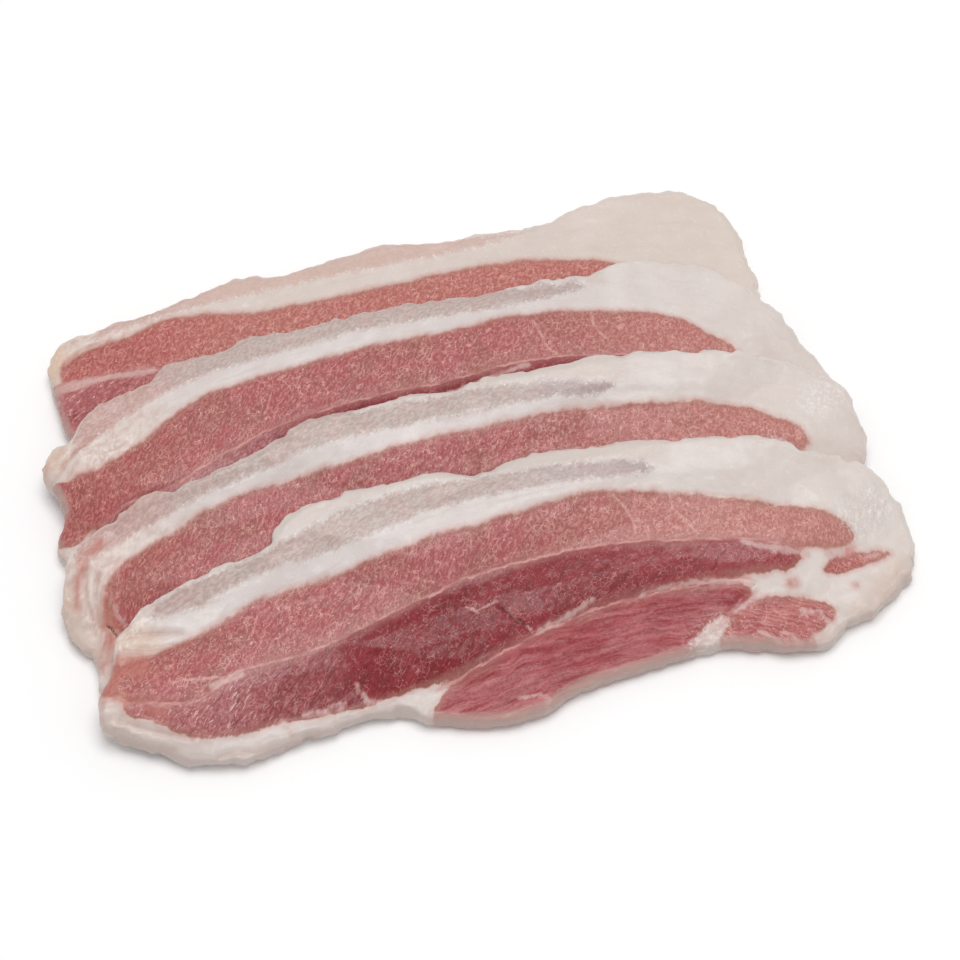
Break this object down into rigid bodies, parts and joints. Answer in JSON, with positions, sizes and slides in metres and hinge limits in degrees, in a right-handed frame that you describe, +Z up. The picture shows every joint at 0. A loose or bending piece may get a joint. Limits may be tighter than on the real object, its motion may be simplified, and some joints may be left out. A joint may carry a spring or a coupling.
{
  "type": "sliced pork belly",
  "caption": "Raw pork belly slices laid one over the next like shingles, with pink and dark lean bands between white fat.",
  "frame": {"origin": "centre of the pile's footprint, on the surface that it lies on", "axes": "+X along the slices, +Y from the front slice towards the back one, +Z up through the pile"},
  "size_m": [0.2144, 0.1626, 0.0193],
  "materials": {
    "fat": "moist raw fat, off-white with a faint pink, softly glossy",
    "lean_pale": "moist raw lean, pale pinkish red with fine marbling, softly glossy",
    "lean_dark": "moist raw lean, deep red, wet sheen",
    "lean_flank": "moist raw lean, red with long pale fibres, wet sheen"
  },
  "bodies": {
    "root": {"slice_1_fat": "fat", "slice_1_lean_1": "lean_pale", "slice_1_lean_2": "lean_dark", "slice_1_lean_3": "lean_flank", "slice_2_fat": "fat", "slice_2_lean_1": "lean_pale", "slice_2_lean_2": "lean_dark", "slice_2_lean_3": "lean_flank", "slice_3_fat": "fat", "slice_3_lean_1": "lean_pale", "slice_3_lean_2": "lean_dark", "slice_3_lean_3": "lean_flank", "slice_4_fat": "fat", "slice_4_lean_1": "lean_pale", "slice_4_lean_2": "lean_dark", "slice_4_lean_3": "lean_flank", "slice_4_lean_4": "lean_pale", "slice_4_lean_5": "lean_pale"}
  },
  "joints": []
}
